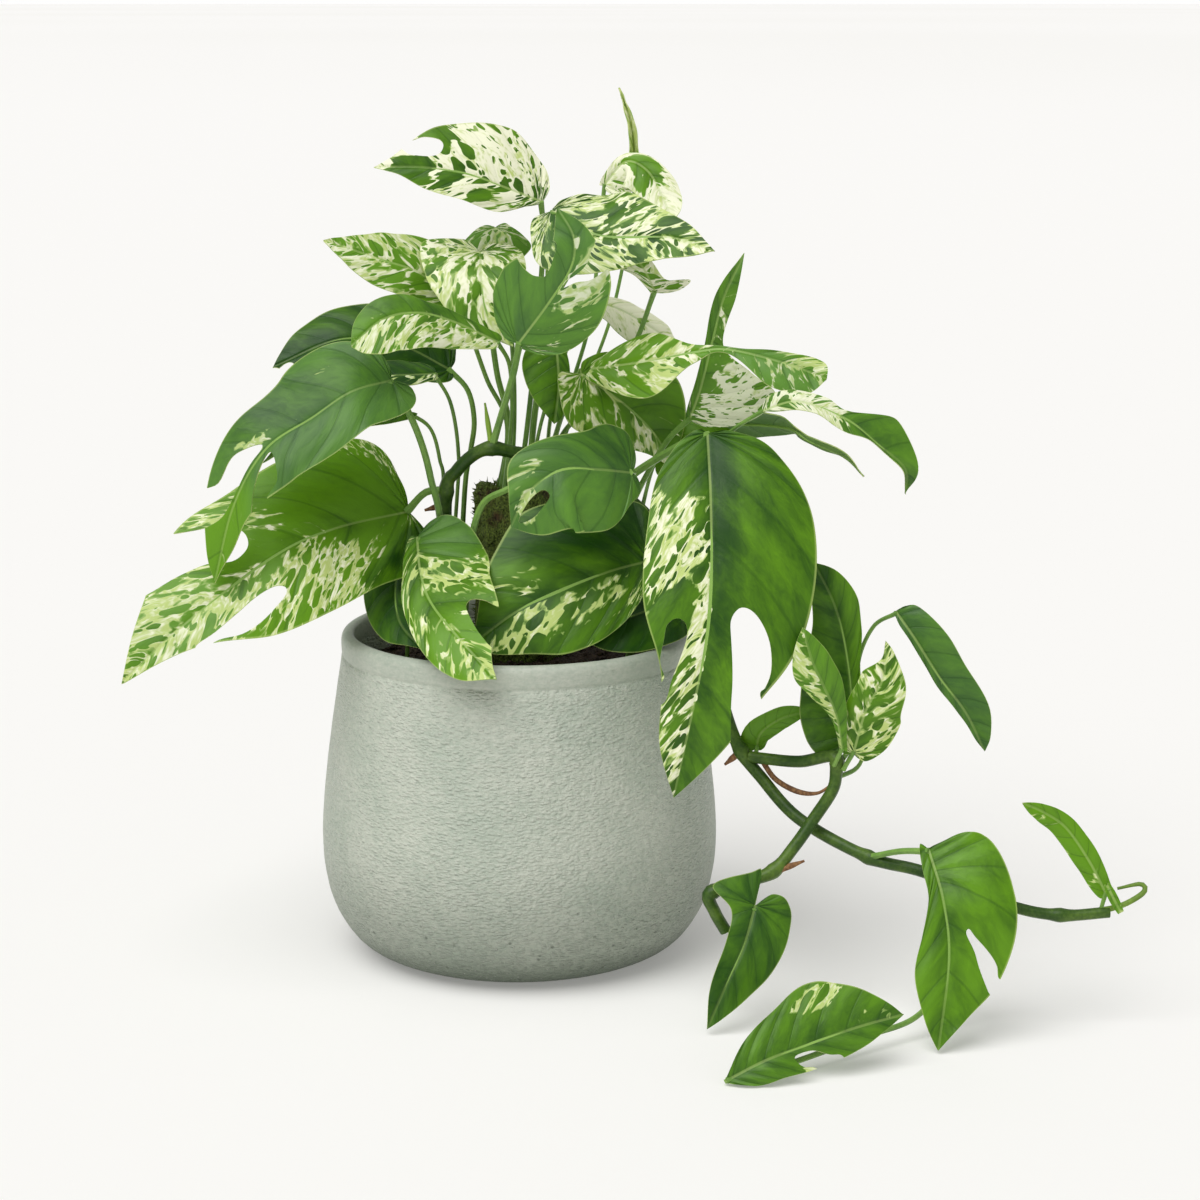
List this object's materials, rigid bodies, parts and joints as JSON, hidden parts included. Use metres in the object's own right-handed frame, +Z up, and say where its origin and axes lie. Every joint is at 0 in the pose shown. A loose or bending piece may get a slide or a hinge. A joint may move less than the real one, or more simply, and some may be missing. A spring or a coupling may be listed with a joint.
{
  "type": "potted pothos plant",
  "caption": "Round-bellied glazed pot of soil with a bushy variegated climbing plant: cream-marbled split leaves on long stalks, a low moss stake and a trailing vine.",
  "frame": {"origin": "centre of the pot's flat underside, on the surface it stands on", "axes": "+Z up the pot's axis, -Y towards the front, +X towards the trailing vine"},
  "size_m": [0.443, 0.2802, 0.393],
  "materials": {
    "glazed_pot": "satin sage grey-green glaze, finely dimpled",
    "potting_soil": "dark damp crumbly potting mix",
    "mossy_coir": "rough dark moss over coir fibre",
    "green_stem": "smooth satin dark green stem",
    "green_leaf": "glossy dark green leaf with sunk veins",
    "marbled_leaf": "glossy leaf, green marbled with cream"
  },
  "bodies": {
    "root": {"pot": "glazed_pot", "soil": "potting_soil", "moss_stake": "mossy_coir", "vine_long": "green_stem", "vine_short": "green_stem", "leaf_left_marbled": "marbled_leaf", "leaf_left_dark": "green_leaf", "leaf_left_hidden": "green_leaf", "leaf_back_left": "green_leaf", "leaf_left_strip": "marbled_leaf", "leaf_mid_low": "marbled_leaf", "leaf_left_striped": "marbled_leaf", "leaf_mid_marbled": "marbled_leaf", "leaf_back_top": "green_leaf", "leaf_top_left": "marbled_leaf", "leaf_top_right": "marbled_leaf", "leaf_top_back": "marbled_leaf", "leaf_spike": "green_leaf", "leaf_upper_right": "marbled_leaf", "leaf_centre_heart": "marbled_leaf", "leaf_centre_round": "green_leaf", "leaf_front_big": "marbled_leaf", "leaf_front_under": "green_leaf", "leaf_rim_left": "green_leaf", "leaf_front_left": "marbled_leaf", "leaf_right_big": "marbled_leaf", "leaf_mid_right": "marbled_leaf", "leaf_folded": "green_leaf", "leaf_right_spear": "marbled_leaf", "leaf_right_grey": "green_leaf", "leaf_right_curl": "marbled_leaf", "leaf_behind_right": "green_leaf", "leaf_behind_cream": "marbled_leaf", "vine_leaf_tall": "green_leaf", "vine_leaf_light": "marbled_leaf", "vine_leaf_marbled": "marbled_leaf", "vine_leaf_outer": "green_leaf", "vine_leaf_young": "green_leaf", "vine_leaf_heart": "green_leaf", "vine_leaf_floor": "green_leaf", "vine_leaf_cut": "green_leaf", "vine_leaf_end": "green_leaf", "vine_leaf_bud": "green_leaf"}
  },
  "joints": []
}
